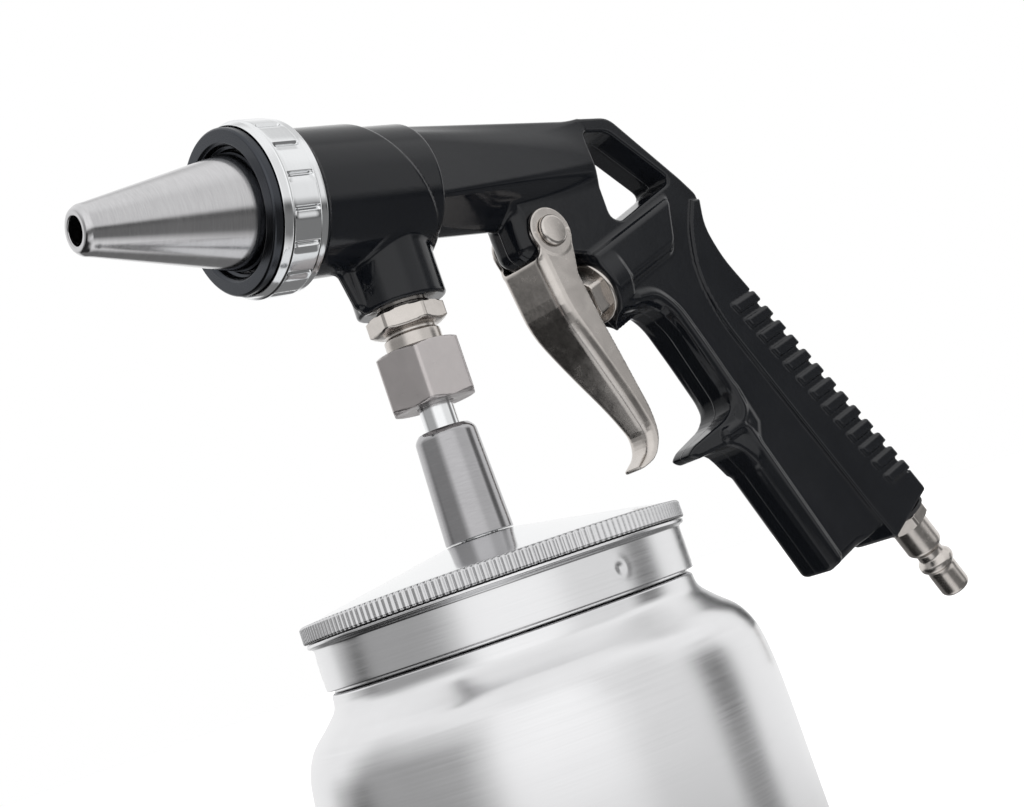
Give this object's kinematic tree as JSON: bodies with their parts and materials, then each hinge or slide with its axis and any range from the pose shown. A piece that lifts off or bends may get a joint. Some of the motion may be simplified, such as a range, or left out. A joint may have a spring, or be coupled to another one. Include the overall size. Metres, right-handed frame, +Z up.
{
  "type": "suction feed abrasive blasting gun",
  "caption": "Pistol-grip air blasting gun with a tapered steel nozzle and a screw-on aluminium abrasive cup hung under the barrel.",
  "frame": {"origin": "centre of the flat base of the cup", "axes": "+Z up along the cup's axis, -X the way the nozzle points, +X towards the handle, Y across the gun's thickness"},
  "size_m": [0.2691, 0.123, 0.2556],
  "materials": {
    "black_enamel": "gloss black enamel with a slight orange peel over a die casting",
    "spun_aluminium": "satin, brushed round the axis",
    "polished_aluminium": "polished, with fine turning lines",
    "turned_steel": "turned, satin",
    "black_steel": "black oxide, satin",
    "nickel": "nickel plate, polished to satin",
    "brass": "turned",
    "black_rubber": "matte",
    "tube_plastic": "milky, smooth"
  },
  "bodies": {
    "cup_body": {"cup": "spun_aluminium"},
    "gun": {"gun_body": "black_enamel", "lid": "polished_aluminium", "lid_collar": "spun_aluminium", "lid_gasket": "black_rubber", "stem": "turned_steel", "stem_pipe": "turned_steel", "pipe_washer": "turned_steel", "pipe_locknut": "turned_steel", "pickup_tube": "tube_plastic", "suction_nipple": "nickel", "nozzle_seal": "black_rubber", "nozzle": "turned_steel", "air_jet_seal": "black_rubber", "air_jet": "brass", "trigger_pin": "nickel", "pin_clip": "turned_steel", "valve_gland": "nickel", "valve_seat": "black_rubber", "inlet_washer": "black_rubber", "air_plug": "nickel"},
    "nozzle_clamp": {"nozzle_nut": "polished_aluminium", "nozzle_ring": "black_steel"},
    "union": {"union_nut": "nickel"},
    "trigger_lever": {"trigger": "nickel"},
    "valve": {"valve_stem": "turned_steel", "valve_poppet": "brass", "valve_spring": "turned_steel"}
  },
  "joints": [
    {"name": "lid_lift", "type": "slide", "parent": "cup_body", "child": "gun", "axis": [0, 0, 1], "range_m": [0, 0.13]},
    {"name": "nozzle_nut_turn", "type": "hinge", "parent": "gun", "child": "nozzle_clamp", "pos_m": [-0.035, 0, 0.233], "axis": [-1, 0, 0], "continuous": true},
    {"name": "union_nut_turn", "type": "hinge", "parent": "gun", "child": "union", "pos_m": [0, 0, 0.18], "axis": [0, 0, 1], "continuous": true},
    {"name": "trigger_pull", "type": "hinge", "parent": "gun", "child": "trigger_lever", "pos_m": [0.0516, 0, 0.2134], "axis": [0, -1, 0], "range_deg": [0, 9.5], "stiffness_Nm_per_rad": 2, "springref_deg": -8.59},
    {"name": "valve_stroke", "type": "slide", "parent": "gun", "child": "valve", "axis": [0.9397, 0, 0.342], "range_m": [0, 0.0038]}
  ],
  "couplings": [
    {"joint": "valve_stroke", "follows": "trigger_pull", "m_per_rad": 0.0218}
  ]
}
